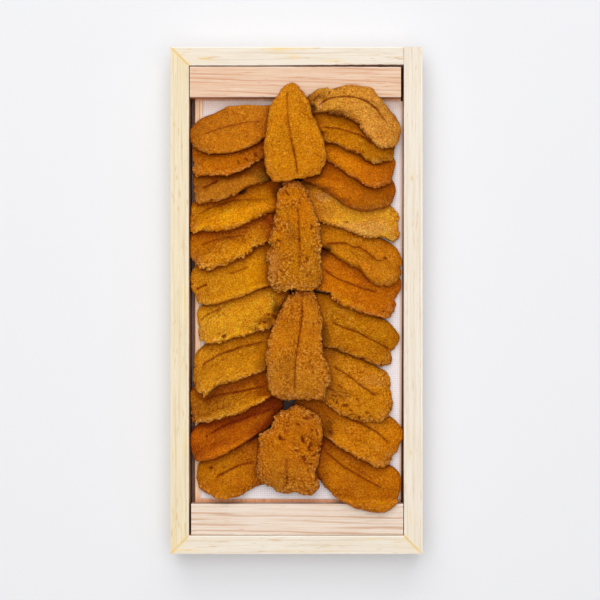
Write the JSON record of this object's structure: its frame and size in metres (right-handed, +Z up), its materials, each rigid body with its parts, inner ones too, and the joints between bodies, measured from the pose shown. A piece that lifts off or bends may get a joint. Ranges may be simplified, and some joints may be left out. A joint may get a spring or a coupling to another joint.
{
  "type": "sea urchin roe in a wooden box",
  "caption": "Shallow open wooden box lined with paper, filled with soft orange lobes of sea urchin roe laid in two overlapping columns with a row along the middle.",
  "frame": {"origin": "centre of the underside of the box", "axes": "+X to the right across the box, +Y along the box towards the end that the centre lobes point to, +Z up"},
  "size_m": [0.1, 0.201, 0.0347],
  "materials": {
    "frame_wood": "matte",
    "batten_wood": "matte",
    "board_wood": "matte",
    "liner_paper": "matte",
    "roe": "satin"
  },
  "bodies": {
    "root": {"wall_left": "frame_wood", "wall_right": "frame_wood", "wall_back": "frame_wood", "wall_front": "frame_wood", "base_board": "board_wood", "foot_left": "board_wood", "foot_right": "board_wood", "inner_board": "board_wood", "batten_back": "batten_wood", "batten_front": "batten_wood", "paper": "liner_paper", "roe_left_1": "roe", "roe_left_2": "roe", "roe_left_3": "roe", "roe_left_4": "roe", "roe_left_5": "roe", "roe_left_6": "roe", "roe_left_7": "roe", "roe_left_8": "roe", "roe_left_9": "roe", "roe_left_10": "roe", "roe_left_11": "roe", "roe_right_1": "roe", "roe_right_2": "roe", "roe_right_3": "roe", "roe_right_4": "roe", "roe_right_5": "roe", "roe_right_6": "roe", "roe_right_7": "roe", "roe_right_8": "roe", "roe_right_9": "roe", "roe_right_10": "roe", "roe_right_11": "roe", "roe_centre_1": "roe", "roe_centre_2": "roe", "roe_centre_3": "roe", "roe_centre_4": "roe"}
  },
  "joints": []
}
